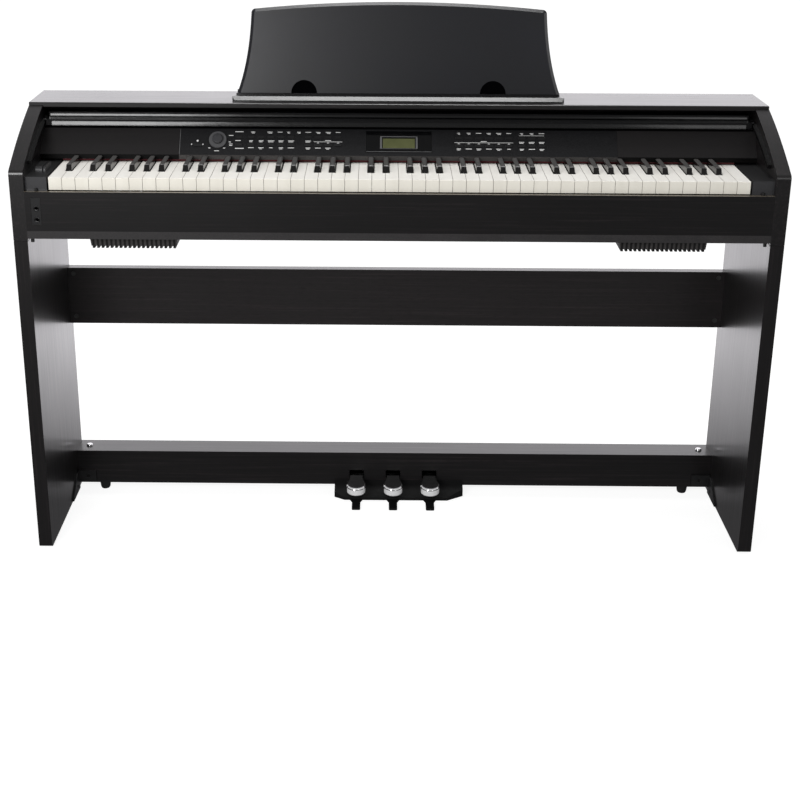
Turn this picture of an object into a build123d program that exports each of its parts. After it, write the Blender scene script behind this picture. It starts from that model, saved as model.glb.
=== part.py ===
from build123d import *
import os
from math import atan2, cos, degrees, radians, sin

os.makedirs("parts", exist_ok=True)

# Digital piano on a panel stand. Millimetres, +Z up, player's side is -Y,
# origin on the floor under the middle of the cabinet.

# Overall size
overall_width = 1357.0
overall_depth = 299.0
overall_height = 825.0
panel_thickness = 25.0
half_width = overall_width / 2
front_y = -overall_depth / 2
back_y = overall_depth / 2
inner_x = half_width - panel_thickness
seam_gap = 0.3
running_gap = 0.05

# Cabinet, from the top board down
top_thickness = 13.0
top_depth = 120.5
nose_depth = 3.0
nose_drop = 1.5
nose_edge = 6.5
nose_undercut = 8.0
top_end_thickness = 5.5
top_front_y = back_y - top_depth
top_flat_front_y = top_front_y + nose_depth
top_underside = overall_height - top_thickness
nose_foot_z = overall_height - nose_drop
side_top = overall_height - top_end_thickness
slope_drop = 82.5
slope_bulge = 5.5
side_front_height = side_top - slope_drop
slope_middle_y = (front_y + top_front_y) / 2
slope_middle_z = (side_front_height + side_top) / 2 + slope_bulge
brow_radius = 9.0
back_board_thickness = 4.5
back_board_y = back_y - back_board_thickness

# Control panel, a folded sheet that leans back above the keys
panel_sheet = 3.0
panel_lean = 37.0
panel_setback = 44.0
panel_drop = 74.0
panel_lip = 8.0
panel_foot_y = top_front_y - panel_setback
panel_foot_z = top_underside - panel_drop
panel_lip_z = panel_foot_z - panel_lip
panel_height = 53.0
panel_return = 18.0
centre_panel_half = 400.0
window_width = 120.0
window_height = 41.0
window_middle = 29.5
frame_width = 69.5
frame_height = 27.0
frame_middle = 28.7
screen_width = 59.0
screen_height = 19.5
screen_middle = 26.5
display_x = 1.5
knob_x = -330.0
knob_v = 30.5
knob_skirt_radius = 16.0
knob_cap_radius = 9.4
knob_shaft_radius = 3.0
button_width = 12.5
button_height = 5.0
button_gap = 0.4
button_stand = 1.1
button_depth = 7.0
button_pitch = 18.3
button_rows = [21.5, 36.5]
board_depth = 11.0
board_thickness = 1.6
module_depth = 9.0
panel_board_half = 390.0
panel_board_height = 36.0
panel_board_middle = 24.0

# Keys
white_pitch = 23.55
white_gap = 0.7
white_height = 22.0
key_clearance = 4.6
white_top = panel_lip_z - key_clearance
key_bottom = white_top - white_height
key_setback = 10.5
key_front_y = front_y + key_setback
head_length = 47.4
pivot_setback = 61.5
key_pivot_y = back_y - pivot_setback
key_tail = 6.0
key_back_y = key_pivot_y + key_tail
key_edge_chamfer = 0.8
cheek_width = 38.0
key_end_gap = 3.2
white_count = int(2 * (inner_x - cheek_width - key_end_gap) / white_pitch + 0.001)
keyboard_half = white_count * white_pitch / 2
sharp_width = 10.6
sharp_top_width = 8.8
sharp_rise = 12.0
sharp_nose_slope = 6.5
sharp_edge_chamfer = 1.5
sharp_end_gap = 4.0
sharp_back_y = panel_foot_y - sharp_end_gap
sharp_side_gap = 1.3
sharp_front_y = key_front_y + head_length + 1.2
white_notes = ["a", "b", "c", "d", "e", "f", "g"]
sharp_offset = {"c": -1.8, "d": 1.8, "f": -2.6, "g": 0.0, "a": 2.6}

# Key slip and keybed
slip_height = 71.0
slip_drop = 23.4
slip_top = white_top - slip_drop
slip_thickness = 18.0
slip_lip_thickness = 8.5
slip_rebate = 12.0
slip_rebate_height = slip_top - slip_rebate
keybed_thickness = 14.0
keybed_top = slip_top - slip_height
keybed_bottom = keybed_top - keybed_thickness

# Stand
glide_height = 2.5
glide_radius = 9.0
glide_inset = 30.0
leg_clearance = 4.0
leg_top = keybed_bottom - leg_clearance
leg_corner_radius = 6.0
leg_top_chamfer = 1.0
rail_bottom = 16.5
rail_height = 72.0
rail_top = rail_bottom + rail_height
rail_depth = 52.0
rail_wall = 12.0
rail_front_y = back_y - rail_depth
rail_channel_half = 160.0
rail_foot_inset = 53.5
rail_foot_setback = 11.5
modesty_drop = 139.0
modesty_height = 117.0
modesty_top = leg_top - modesty_drop
modesty_bottom = modesty_top - modesty_height
modesty_thickness = 18.0
modesty_inset = 2.5
modesty_back_y = back_y - modesty_inset
modesty_front_y = modesty_back_y - modesty_thickness

# Sliding key cover
cover_end_gap = 10.5
cover_half = inner_x - cover_end_gap
cover_sheet = 4.0
cover_sleeve_radius = 4.4
cover_back_gap = 0.6
cover_drop = 9.0
cover_pin_y = back_board_y - cover_sleeve_radius - cover_back_gap
cover_pin_z = top_underside - cover_drop
cover_pin_radius = 2.5
cover_step = 6.0
rear_cover_setback = 1.0
rear_cover_front_y = top_front_y + rear_cover_setback
front_cover_reach = 25.0
front_cover_front_y = top_front_y - front_cover_reach
front_cover_length = 108.0
cover_travel = 100.0
cover_tilt = 19.5
front_cover_travel = 66.0
sleeve_inset = 83.0
sleeve_inner_x = 190.0
sleeve_length = 40.0
guide_width = 7.5
guide_height = 6.0
guide_pin_radius = 1.8
rear_bead_height = 3.4
rear_bead_lean = 0.75
rear_bead_bulge = 0.15
rear_bead_inset = 3.0
front_lip_drop = 9.0
front_bead_height = 7.5
front_bead_lean = 1.7
front_bead_bulge = 0.35
front_bead_inset = 10.5

# Music rest
rest_lean = 10.0
rest_setback = 39.5
rest_gap = 2.0
rest_thickness = 9.0
rest_x = 1.2
rest_bottom_half = 304.5
rest_top_half = 276.5
rest_rise = 170.0
rest_crown = 14.0
rest_corner_radius = 8.0
rest_bevel = 6.0
rest_recess_x = 178.0
rest_recess_radius = 24.5
rest_recess_depth = 5.0
tray_half = 307.0
tray_thickness = 2.2
tray_front_setback = 20.0
tray_back_inset = 23.5
tray_lip_depth = 9.7
tray_lip_rise = 5.6
tray_front_y = top_front_y + tray_front_setback
tray_back_y = back_y - tray_back_inset
rest_foot_y = back_y - rest_setback
rest_foot_z = overall_height + tray_thickness + rest_gap

# Pedals
pedal_positions = {"left": -76.0, "middle": -1.0, "right": 74.0}
pedal_pivot_inset = 25.5
pedal_pivot_lift = 22.5
pedal_pivot_y = rail_front_y + pedal_pivot_inset
pedal_pivot_z = rail_bottom + pedal_pivot_lift
pedal_axle_radius = 4.0
pedal_eye_radius = 8.0
pedal_top = pedal_pivot_z + pedal_axle_radius
pedal_thickness = 8.0
pedal_toe_height = 17.0
pedal_neck_width = 25.0
pedal_toe_width = 38.0
pedal_reach = 74.5
pedal_toe_y = rail_front_y - pedal_reach
pedal_slot_gap = 2.5
pedal_slot_bottom = pedal_top - pedal_thickness - 3.5
pedal_slot_top = pedal_top + 6.0

# Speakers and sockets
speaker_inset = 184.0
speaker_setback = 73.5
speaker_x = inner_x - speaker_inset
speaker_y = front_y + speaker_setback
speaker_radius = 44.0
speaker_flange_radius = speaker_radius + 2.0
grille_width = 156.0
grille_depth = 112.0
grille_drop = 22.0
grille_taper = 2.0
grille_wall = 2.5
grille_ribs = 19
rib_stand = 4.0
jack_inset = 19.5
jack_x = jack_inset - inner_x
jack_lift = 20.0
jack_pitch = 20.7
jack_heights = [keybed_top + jack_lift, keybed_top + jack_lift + jack_pitch]
jack_bore_radius = 3.25
jack_body_radius = 7.0
jack_collar_radius = 4.7
jack_plate_thickness = 2.0
terminal_inset = 53.5
terminal_width = 160.0
terminal_height = 50.0
terminal_lift = 19.0
terminal_flange = 6.0
terminal_sheet = 2.0
terminal_x1 = inner_x - terminal_inset
terminal_x0 = terminal_x1 - terminal_width
terminal_z0 = keybed_top + terminal_lift
terminal_z1 = terminal_z0 + terminal_height
inlet_x = terminal_x1 - 25.0
inlet_z = (terminal_z0 + terminal_z1) / 2
inlet_radius = 3.0
inlet_length = 15.0
host_port_x = terminal_x0 + 60.0


def block(x0, x1, y0, y1, z0, z1):
    size = Box(x1 - x0, y1 - y0, z1 - z0)
    return Pos((x0 + x1) / 2, (y0 + y1) / 2, (z0 + z1) / 2) * size


def prism_x(points, x0, x1):
    face = make_face(Polyline(*points, close=True))
    return extrude(Plane.YZ.offset(x0) * face, amount=x1 - x0)


def prism_z(points, z0, z1):
    face = make_face(Polyline(*points, close=True))
    return extrude(Plane.XY.offset(z0) * face, amount=z1 - z0)


def rod_x(radius, x0, x1, y, z):
    return Pos((x0 + x1) / 2, y, z) * Rot(0, 90, 0) * Cylinder(radius, x1 - x0)


def rod_y(radius, x, y0, y1, z):
    return Pos(x, (y0 + y1) / 2, z) * Rot(90, 0, 0) * Cylinder(radius, y1 - y0)


def rod_z(radius, x, y, z0, z1):
    return Pos(x, y, (z0 + z1) / 2) * Cylinder(radius, z1 - z0)


def both_sides(shape):
    return [shape, mirror(shape, about=Plane.YZ)]


def save(name, shapes):
    if isinstance(shapes, list):
        shape = shapes[0] if len(shapes) == 1 else Compound(children=shapes)
    else:
        shape = shapes
    export_step(shape, "parts/" + name + ".step")


# Upper side panels, with a curved slope from the top board down to the front
def side_panel():
    outline = [
        Line((front_y, leg_top), (front_y, side_front_height)),
        ThreePointArc(
            (front_y, side_front_height), (slope_middle_y, slope_middle_z), (top_front_y, side_top)
        ),
        Line((top_front_y, side_top), (back_y, side_top)),
        Line((back_y, side_top), (back_y, leg_top)),
        Line((back_y, leg_top), (front_y, leg_top)),
    ]
    face = make_face(outline)
    panel = extrude(Plane.YZ.offset(inner_x) * face, amount=panel_thickness)
    brow = panel.edges().filter_by(Axis.X).sort_by(lambda e: abs(e.center().Z - side_front_height))[0]
    return fillet(brow, brow_radius)


right_side_panel = side_panel()
save("right_side_panel", right_side_panel)
save("left_side_panel", mirror(right_side_panel, about=Plane.YZ))


# Top board with a rounded front edge, undercut below, and a rebate at each end over the side panel
top_outline = [
    Line((back_y, top_underside), (back_y, overall_height)),
    Line((back_y, overall_height), (top_flat_front_y, overall_height)),
    TangentArc((top_flat_front_y, overall_height), (top_front_y, nose_foot_z), tangent=(-1, 0)),
    Line((top_front_y, nose_foot_z), (top_front_y, nose_foot_z - nose_edge)),
    Line((top_front_y, nose_foot_z - nose_edge), (top_front_y + nose_undercut, top_underside)),
    Line((top_front_y + nose_undercut, top_underside), (back_y, top_underside)),
]
top_board = extrude(Plane.YZ.offset(-half_width) * make_face(top_outline), amount=overall_width)
for end in both_sides(block(inner_x, half_width + 1, top_front_y - 1, back_y + 1, top_underside - 1, side_top)):
    top_board -= end
save("top_board", top_board)


# Keybed, the floor of the cabinet, with speaker openings
keybed = block(-inner_x, inner_x, front_y, back_board_y, keybed_bottom, keybed_top)
for side in (-1, 1):
    keybed -= rod_z(speaker_radius - 4.0, side * speaker_x, speaker_y, keybed_bottom - 1, keybed_top + 1)
save("keybed", keybed)


# Key slip with a rebate behind its top edge, and a recess for the socket plate
slip_section = [
    (front_y, keybed_top),
    (front_y, slip_top),
    (front_y + slip_lip_thickness, slip_top),
    (front_y + slip_lip_thickness, slip_rebate_height),
    (front_y + slip_thickness, slip_rebate_height),
    (front_y + slip_thickness, keybed_top),
]
jack_plate_box = [jack_x - 9.5, jack_x + 8.0, jack_heights[0] - 8.7, jack_heights[1] + 19.5]
key_slip = prism_x(slip_section, -inner_x, inner_x)
plate_recess = block(
    jack_plate_box[0],
    jack_plate_box[1],
    front_y - 1,
    front_y + jack_plate_thickness,
    jack_plate_box[2],
    jack_plate_box[3],
)
key_slip -= plate_recess
for height in jack_heights:
    key_slip -= rod_y(jack_body_radius + seam_gap, jack_x, front_y - 1, front_y + slip_thickness + 1, height)
save("key_slip", key_slip)

jack_plate = block(
    jack_plate_box[0] + seam_gap,
    jack_plate_box[1] - seam_gap,
    front_y,
    front_y + jack_plate_thickness,
    jack_plate_box[2] + seam_gap,
    jack_plate_box[3] - seam_gap,
)
phone_jacks = []
for height in jack_heights:
    jack_plate -= rod_y(
        jack_collar_radius + seam_gap, jack_x, front_y - 1, front_y + jack_plate_thickness + 1, height
    )
    sleeve = rod_y(jack_body_radius, jack_x, front_y + jack_plate_thickness, front_y + 34.0, height)
    collar = rod_y(jack_collar_radius, jack_x, front_y, front_y + jack_plate_thickness, height)
    bore = rod_y(jack_bore_radius, jack_x, front_y - 1, front_y + 30.0, height)
    phone_jacks.append(sleeve + collar - bore)
save("jack_plate", jack_plate)
save("phone_jacks", phone_jacks)


# Thin back board with an opening at its lower right that the socket plate fills
window_x0 = terminal_x0 + terminal_flange
window_x1 = terminal_x1 - terminal_flange
window_z0 = terminal_z0 + terminal_flange
window_z1 = terminal_z1 - terminal_flange
back_board = block(-inner_x, inner_x, back_board_y, back_y, keybed_bottom, top_underside)
back_board -= block(window_x0, window_x1, back_board_y - 1, back_y + 1, window_z0, window_z1)
save("back_board", back_board)

socket_depth = inlet_length + 3.0
port_half_width = 6.0
port_half_height = 5.5
port_wall = 3.0
port_depth = 7.0
terminal_plate = block(
    terminal_x0, terminal_x1, back_board_y - terminal_sheet, back_board_y, terminal_z0, terminal_z1
)
terminal_plate += block(
    window_x0 + seam_gap,
    window_x1 - seam_gap,
    back_board_y - terminal_sheet,
    back_y,
    window_z0 + seam_gap,
    window_z1 - seam_gap,
)
terminal_plate += rod_y(2 * inlet_radius, inlet_x, back_y - socket_depth, back_y, inlet_z)
terminal_plate -= rod_y(inlet_radius, inlet_x, back_y - inlet_length, back_y + 1, inlet_z)
terminal_plate += block(
    host_port_x - port_half_width - port_wall,
    host_port_x + port_half_width + port_wall,
    back_y - socket_depth,
    back_board_y,
    inlet_z - port_half_height - port_wall,
    inlet_z + port_half_height + port_wall,
)
terminal_plate -= block(
    host_port_x - port_half_width,
    host_port_x + port_half_width,
    back_y - port_depth,
    back_y + 1,
    inlet_z - port_half_height,
    inlet_z + port_half_height,
)
save("terminal_plate", terminal_plate)


# Legs with eased corners, standing on glides
def leg():
    panel = block(inner_x, half_width, front_y, back_y, glide_height, leg_top)
    feet = panel.edges().filter_by(Axis.X).group_by(Axis.Z)[0]
    panel = fillet(feet, leg_corner_radius)
    return chamfer(panel.edges().group_by(Axis.Z)[-1], leg_top_chamfer)


right_leg = leg()
save("right_leg", right_leg)
save("left_leg", mirror(right_leg, about=Plane.YZ))

leg_middle_x = half_width - panel_thickness / 2
leg_glides = []
for y in (front_y + glide_inset, back_y - glide_inset):
    leg_glides += both_sides(rod_z(glide_radius, leg_middle_x, y, 0.0, glide_height))
save("leg_glides", leg_glides)


# Modesty panel between the legs
save("modesty_panel", block(-inner_x, inner_x, modesty_front_y, modesty_back_y, modesty_bottom, modesty_top))


# Pedal rail, a channel open below, with a slot for each pedal
pedal_rail = block(-inner_x, inner_x, rail_front_y, back_y, rail_bottom, rail_top)
pedal_rail -= block(
    -rail_channel_half,
    rail_channel_half,
    rail_front_y + rail_wall,
    back_y - rail_wall,
    rail_bottom - 1,
    rail_top - rail_wall,
)
for x in pedal_positions.values():
    slot_half = pedal_neck_width / 2 + pedal_slot_gap
    pedal_rail -= block(
        x - slot_half,
        x + slot_half,
        rail_front_y - 1,
        rail_front_y + rail_wall + 1,
        pedal_slot_bottom,
        pedal_slot_top,
    )
save("pedal_rail", pedal_rail)

rail_foot_x = inner_x - rail_foot_inset
rail_foot_y = rail_front_y + rail_foot_setback
foot_section = [(0, 0), (8.0, 0), (9.5, 2.5), (11.5, rail_bottom), (0, rail_bottom)]
foot_face = make_face(Polyline(*foot_section, close=True))
rail_foot = revolve(Plane.XZ * foot_face, axis=Axis.Z)
save("rail_feet", both_sides(Pos(rail_foot_x, rail_foot_y, 0) * rail_foot))


# Pedal box: a low wedge in front of the rail, floor tongues, and axle lugs inside the rail
box_left = -121.0
box_right = 143.0
box_reach = 42.5
box_lift = 2.0
box_height = 27.0
box_nose_height = 8.2
box_front_y = rail_front_y - box_reach
box_plan = [
    (box_left, rail_front_y),
    (box_left, box_front_y + 13.0),
    (box_left + 21.0, box_front_y),
    (box_right - 33.0, box_front_y),
    (box_right, box_front_y + 21.0),
    (box_right, rail_front_y),
]
wedge = prism_z(box_plan, box_lift, box_height)
wedge_slope = (box_height - box_nose_height) / box_reach
wedge_cut_y = box_front_y - 5.0
wedge_cut = prism_x(
    [
        (rail_front_y, box_height),
        (wedge_cut_y, box_nose_height - 5.0 * wedge_slope),
        (wedge_cut_y, box_height + 13.0),
        (rail_front_y, box_height + 13.0),
    ],
    box_left - 5.0,
    box_right + 5.0,
)
pedal_box = wedge - wedge_cut
base_half = 118.0
pedal_box += block(
    -base_half, base_half, rail_front_y - 1, back_y - rail_wall - seam_gap, box_lift, rail_bottom - seam_gap
)
lug_inner_y0 = pedal_pivot_y - 9.0
lug_inner_y1 = pedal_pivot_y + 9.0
lug_positions = [-112.0, -40.0, 38.0, 110.0]
lug_half = 2.0
for x in lug_positions:
    lug_foot = rail_bottom - 6.5
    pedal_box += block(
        x - lug_half, x + lug_half, lug_inner_y0, lug_inner_y1, lug_foot, pedal_pivot_z + 10.0
    )
pedal_box -= rod_x(pedal_axle_radius + running_gap, box_left, box_right, pedal_pivot_y, pedal_pivot_z)
tongue_half = 8.5
tongue_length = 45.0
tongue_height = 4.5
tongue_front_y = box_front_y - 40.0
flare_y = box_front_y - 11.0
for x in pedal_positions.values():
    tongue = block(
        x - tongue_half, x + tongue_half, tongue_front_y, tongue_front_y + tongue_length, 0.0, tongue_height
    )
    corners = tongue.edges().filter_by(Axis.Z).group_by(Axis.Y)[0]
    tongue = fillet(corners, 3.0)
    flare = prism_z(
        [
            (x - tongue_half - 5, flare_y + 12.0),
            (x - tongue_half, flare_y),
            (x + tongue_half, flare_y),
            (x + tongue_half + 5, flare_y + 12.0),
        ],
        box_lift,
        tongue_height,
    )
    pedal_box += tongue + flare
save("pedal_housing", pedal_box)
axle_from = lug_positions[0] - 2 * lug_half
axle_to = lug_positions[-1] + 2 * lug_half
save("pedal_axle", rod_x(pedal_axle_radius, axle_from, axle_to, pedal_pivot_y, pedal_pivot_z))


# Pedal: lever with an eye on the axle and a thick rounded toe
def pedal(x):
    neck_half = pedal_neck_width / 2
    toe_half = pedal_toe_width / 2
    shoulder_y = pedal_toe_y + 40.0
    toe_side_y = pedal_toe_y + 16.0
    plan = [
        Line((-neck_half, pedal_pivot_y + 8.0), (-neck_half, shoulder_y + 14.0)),
        Spline(
            (-neck_half, shoulder_y + 14.0),
            (-toe_half, toe_side_y),
            tangents=[(0, -1), (0, -1)],
        ),
        ThreePointArc((-toe_half, toe_side_y), (0, pedal_toe_y), (toe_half, toe_side_y)),
        Spline(
            (toe_half, toe_side_y),
            (neck_half, shoulder_y + 14.0),
            tangents=[(0, 1), (0, 1)],
        ),
        Line((neck_half, shoulder_y + 14.0), (neck_half, pedal_pivot_y + 8.0)),
        Line((neck_half, pedal_pivot_y + 8.0), (-neck_half, pedal_pivot_y + 8.0)),
    ]
    outline = make_face(plan)
    lower = pedal_top - pedal_thickness
    toe_lower = pedal_top - pedal_toe_height
    body = extrude(Plane.XY.offset(toe_lower) * outline, amount=pedal_toe_height)
    relief = prism_x(
        [
            (pedal_toe_y + 20.0, toe_lower - 1),
            (pedal_toe_y + 27.0, lower - 3.0),
            (pedal_toe_y + 36.0, lower),
            (pedal_pivot_y + 20.0, lower),
            (pedal_pivot_y + 20.0, toe_lower - 1),
        ],
        -40.0,
        40.0,
    )
    body -= relief
    rim = body.edges().filter_by(lambda e: e.geom_type == GeomType.CIRCLE)
    body = fillet(rim, 4.5)
    body += rod_x(pedal_eye_radius, -neck_half, neck_half, pedal_pivot_y, pedal_pivot_z)
    body -= rod_x(pedal_axle_radius + running_gap, -40.0, 40.0, pedal_pivot_y, pedal_pivot_z)
    return Pos(x, 0, 0) * body


for side, x in pedal_positions.items():
    save("pedal_" + side, pedal(x))


# Keys. Each note name is one node, so neighbouring keys never share a node
def sharp_centre(index):
    name = white_notes[index % 7]
    if name not in sharp_offset or index < 0 or index >= white_count - 1:
        return None
    return -keyboard_half + (index + 1) * white_pitch + sharp_offset[name]


def white_key(index):
    left = -keyboard_half + index * white_pitch + white_gap / 2
    right = left + white_pitch - white_gap
    before = sharp_centre(index - 1) if index > 0 else None
    after = sharp_centre(index)
    reach = sharp_width / 2 + sharp_side_gap
    tail_left = left if before is None else before + reach
    tail_right = right if after is None else after - reach
    head_back = key_front_y + head_length
    plan = [(left, key_front_y), (right, key_front_y)]
    if after is not None:
        plan += [(right, head_back), (tail_right, head_back)]
    plan += [(tail_right, key_back_y), (tail_left, key_back_y)]
    if before is not None:
        plan += [(tail_left, head_back), (left, head_back)]
    key = prism_z(plan, key_bottom, white_top)
    front_edge = key.edges().filter_by(Axis.X).group_by(Axis.Y)[0].sort_by(Axis.Z)[-1]
    return chamfer(front_edge, key_edge_chamfer)


def sharp_key(centre):
    half = sharp_width / 2
    top_half = sharp_top_width / 2
    base_z = white_top - 1.0
    stick = block(-half, half, sharp_front_y, key_back_y, key_bottom, base_z)
    base = prism_z(
        [(-half, sharp_front_y), (half, sharp_front_y), (half, sharp_back_y), (-half, sharp_back_y)],
        base_z,
        base_z + 0.01,
    )
    base_face = base.faces().sort_by(Axis.Z)[0]
    top_z = white_top + sharp_rise
    nose_y = sharp_front_y + sharp_nose_slope
    top = prism_z(
        [(-top_half, nose_y), (top_half, nose_y), (top_half, sharp_back_y), (-top_half, sharp_back_y)],
        top_z,
        top_z + 0.01,
    )
    top_face = top.faces().sort_by(Axis.Z)[0]
    cap = loft([base_face, top_face], ruled=True)
    top_edges = cap.edges().group_by(Axis.Z)[-1].sort_by(Axis.Y)
    cap = chamfer(top_edges[:-1], sharp_edge_chamfer)
    return Pos(centre, 0, 0) * (stick + cap)


key_groups = {}
for index in range(white_count):
    name = white_notes[index % 7]
    key_groups.setdefault("keys_" + name, []).append(white_key(index))
    centre = sharp_centre(index)
    if centre is not None:
        key_groups.setdefault("keys_" + name + "_sharp", []).append(sharp_key(centre))
for name, keys in key_groups.items():
    save(name, keys)


# Key chassis: a folded steel tray with the front stop rail and the rear pivot rail
chassis_overhang = 13.7
chassis_half = keyboard_half + chassis_overhang
chassis_gap = 5.5
chassis_front_y = front_y + slip_thickness + chassis_gap
chassis_sheet = 2.0
speaker_window = speaker_flange_radius + 1.0
chassis = block(
    -chassis_half, chassis_half, chassis_front_y, key_pivot_y + 8.0, keybed_top, keybed_top + chassis_sheet
)
stop_rail_top = slip_rebate_height - 1.5
chassis += block(
    -chassis_half, chassis_half, chassis_front_y, chassis_front_y + chassis_sheet, keybed_top, stop_rail_top
)
chassis += block(
    -chassis_half,
    chassis_half,
    chassis_front_y,
    chassis_front_y + 14.0,
    stop_rail_top - chassis_sheet,
    stop_rail_top,
)
pivot_top = key_bottom - seam_gap
chassis += block(
    -chassis_half, chassis_half, key_pivot_y - 2.0, key_pivot_y + 2.0, keybed_top, pivot_top
)
for side in (-1, 1):
    chassis -= block(
        side * speaker_x - speaker_window,
        side * speaker_x + speaker_window,
        speaker_y - speaker_window,
        speaker_y + speaker_window,
        keybed_top - 1,
        keybed_top + chassis_sheet + 0.5,
    )
save("key_chassis", chassis)

felt_bottom = white_top + 1.9
felt = block(
    -keyboard_half,
    keyboard_half,
    panel_foot_y - 0.8,
    panel_foot_y + panel_sheet,
    felt_bottom,
    panel_lip_z,
)
save("key_felt", felt)


# Cheek blocks beside the keyboard; the left one carries a rounded stop and a fin
cheek_inner_x = keyboard_half + key_end_gap
cheek_top = white_top + 1.0
cheek = block(cheek_inner_x, inner_x, key_front_y, panel_foot_y + 30.0, slip_top - 4.0, cheek_top)
cheek -= block(
    cheek_inner_x - 1, inner_x + 1, key_front_y - 1, panel_foot_y + 31.0, slip_rebate_height, slip_top - 2
)
cheek_support = block(
    chassis_half + 1.0, inner_x, key_front_y + 34.0, key_front_y + 48.0, keybed_top, slip_top - 2
)
cheek_rear_support = block(
    chassis_half + 1.0, inner_x, panel_foot_y - 5.0, panel_foot_y + 15.0, keybed_top, slip_top - 2
)
cheek += cheek_support + cheek_rear_support
stop_y = panel_foot_y - 39.0
stop_length = 48.0
stop_height = 9.0
stop_spans = [(9.5, 13.0), (15.0, 27.0)]
left_cheek = mirror(cheek, about=Plane.YZ)
for near, far in stop_spans:
    stop = block(
        -cheek_inner_x - far,
        -cheek_inner_x - near,
        stop_y - stop_length,
        stop_y,
        cheek_top - 1,
        cheek_top + stop_height,
    )
    stop_ends = stop.edges().filter_by(Axis.X).group_by(Axis.Z)[-1]
    left_cheek += fillet(stop_ends, stop_height - 2.0)
save("cheek_blocks", [cheek, left_cheek])

bumper_x = inner_x - 19.5
bumper_radius = 3.0
bumper_height = 5.0
bumper = rod_z(bumper_radius, bumper_x, key_front_y - bumper_radius, slip_top, slip_top + bumper_height)
bumper = fillet(bumper.edges().group_by(Axis.Z)[-1], bumper_radius / 2)
save("cover_bumpers", both_sides(bumper))


# Folded control panel section, in front-to-back view
lean_sin = sin(radians(panel_lean))
lean_cos = cos(radians(panel_lean))
panel_top_y = panel_foot_y + panel_height * lean_sin
panel_top_z = panel_foot_z + panel_height * lean_cos
inner_start_y = panel_foot_y + panel_sheet * lean_cos
inner_start_z = panel_foot_z - panel_sheet * lean_sin
lower_step = (panel_foot_y + panel_sheet - inner_start_y) / lean_sin
upper_step = (panel_top_z - panel_sheet - inner_start_z) / lean_cos
panel_section = [
    (panel_foot_y, panel_lip_z),
    (panel_foot_y, panel_foot_z),
    (panel_top_y, panel_top_z),
    (panel_top_y + panel_return, panel_top_z),
    (panel_top_y + panel_return, panel_top_z - panel_sheet),
    (inner_start_y + upper_step * lean_sin, panel_top_z - panel_sheet),
    (panel_foot_y + panel_sheet, inner_start_z + lower_step * lean_cos),
    (panel_foot_y + panel_sheet, panel_lip_z),
]
panel_plane = Plane(
    origin=(0, panel_foot_y, panel_foot_z), x_dir=(1, 0, 0), z_dir=(0, -lean_cos, lean_sin)
)


def on_panel(x, v, depth_from, depth_to, shape_of):
    height = depth_to - depth_from
    return panel_plane * Pos(x, v, (depth_from + depth_to) / 2) * shape_of(height)


def panel_box(x, v, width, height, depth_from, depth_to):
    return on_panel(x, v, depth_from, depth_to, lambda h: Box(width, height, h))


def panel_disc(x, v, radius, depth_from, depth_to):
    return on_panel(x, v, depth_from, depth_to, lambda h: Cylinder(radius, h))


def columns_from(first, count):
    return [first + button_pitch * step for step in range(count)]


button_columns = {
    "tone": [-291.0] + columns_from(-269.0, 5),
    "rhythm": columns_from(-164.6, 4),
    "song": columns_from(111.0, 6),
    "function": columns_from(226.0, 3),
}
power_x = -367.0
power_v = 20.0
power_width = 16.0

control_panel = prism_x(panel_section, -centre_panel_half, centre_panel_half)
control_panel -= panel_box(display_x, window_middle, window_width, window_height, -panel_sheet - 2, 2)
control_panel -= panel_disc(knob_x, knob_v, knob_shaft_radius + 1.0, -panel_sheet - 2, 2)
control_panel -= panel_box(
    power_x, power_v, power_width + 2 * button_gap, button_height + 2 * button_gap, -panel_sheet - 2, 2
)
for columns in button_columns.values():
    for x in columns:
        for v in button_rows:
            control_panel -= panel_box(
                x, v, button_width + 2 * button_gap, button_height + 2 * button_gap, -panel_sheet - 2, 2
            )
save("control_panel", control_panel)

fascia_end = prism_x(panel_section, centre_panel_half + seam_gap, inner_x)
save("fascia_ends", both_sides(fascia_end))


def button(x, v, width):
    cap = panel_box(x, v, width, button_height, -button_depth, button_stand)
    flange = panel_box(x, v, width + 2.0, button_height + 2.0, -button_depth, -panel_sheet - 1.2)
    return cap + flange


for group, columns in button_columns.items():
    save(group + "_buttons", [button(x, v, button_width) for x in columns for v in button_rows])
save("power_button", button(power_x, power_v, power_width))


# Volume knob: skirt, cap with a pointer groove, and shaft
knob = panel_disc(knob_x, knob_v, knob_skirt_radius, 0.6, 2.6)
knob += panel_disc(knob_x, knob_v, knob_cap_radius, 2.6, 9.0)
knob_rim = knob.edges().filter_by(GeomType.CIRCLE).sort_by(lambda e: -e.center().Z)[0]
knob = chamfer(knob_rim, 1.0)
knob += panel_disc(knob_x, knob_v, knob_shaft_radius, -board_depth + 2.5, 0.6)
knob -= panel_box(knob_x, knob_v + knob_cap_radius - 3.0, 1.4, 6.0, 8.2, 10.0)
save("volume_knob", knob)


# Display: a sunk window with a raised frame, and the module behind it
display_bezel = panel_box(
    display_x, window_middle, window_width - seam_gap, window_height - seam_gap, -3.5, -0.8
)
display_bezel -= panel_box(display_x, frame_middle, frame_width, frame_height, -1.4, 0.0)
display_bezel -= panel_box(display_x, screen_middle, screen_width, screen_height, -4.0, 0.0)
display_bezel += panel_box(
    display_x, window_middle - window_height / 2 - 0.6, window_width + 2.0, 1.4, 0.0, 0.7
)
display_bezel += panel_box(
    display_x, window_middle - window_height / 2 + 0.6, window_width - seam_gap, 1.0, -3.5, 0.7
)
save("display_bezel", display_bezel)
display_module = panel_box(
    display_x, frame_middle, frame_width + 12.0, frame_height + 4.0, -module_depth, -3.5
)
display_module += panel_box(
    display_x, screen_middle, screen_width - 2 * seam_gap, screen_height - 2 * seam_gap, -3.5, -1.8
)
save("display_module", display_module)

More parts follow.
